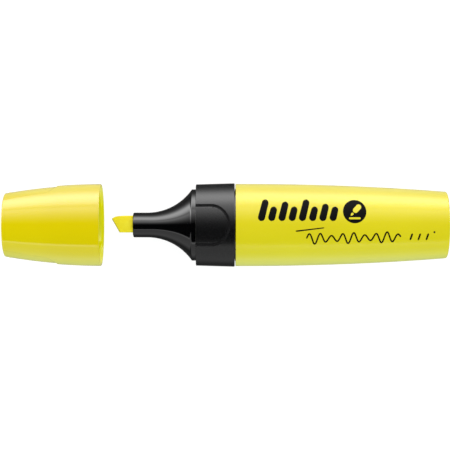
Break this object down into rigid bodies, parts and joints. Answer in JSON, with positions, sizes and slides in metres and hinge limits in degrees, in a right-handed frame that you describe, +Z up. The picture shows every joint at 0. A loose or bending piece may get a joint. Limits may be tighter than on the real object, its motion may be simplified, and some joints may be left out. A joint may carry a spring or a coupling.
{
  "type": "highlighter",
  "caption": "Chisel-tip highlighter with a flattened oval body, black grip collar with thumb recesses, stepped nose and a tapered pull-off cap, shown uncapped in line.",
  "frame": {"origin": "under the middle of the whole object, cap pulled off and in line, on the surface that the pen lies on", "axes": "+X along the pen from the cap to the tail, +Y across the broad face, +Z up through the thin way of the body"},
  "size_m": [0.1446, 0.0274, 0.018],
  "materials": {
    "yellow_plastic": "moulded fluorescent yellow, satin gloss",
    "cap_plastic": "moulded fluorescent yellow, slightly translucent gloss",
    "black_gloss_plastic": "polished black",
    "black_satin_plastic": "satin black",
    "nib_fibre": "ink-soaked bonded fibre, matt",
    "reservoir_fibre": "ink-soaked fibre, matt",
    "clear_film": "thin plastic film",
    "seal_plastic": "soft moulded plastic, satin"
  },
  "bodies": {
    "pen": {"barrel": "yellow_plastic", "nose_section": "black_gloss_plastic", "grip_collar": "black_satin_plastic", "nib": "nib_fibre", "reservoir_core": "reservoir_fibre", "reservoir_film": "clear_film"},
    "cap": {"cap_shell": "cap_plastic", "cap_inner_seal": "seal_plastic"}
  },
  "joints": [
    {"name": "cap_slide", "type": "slide", "parent": "pen", "child": "cap", "axis": [1, 0, 0], "range_m": [0, 0.0308]}
  ]
}
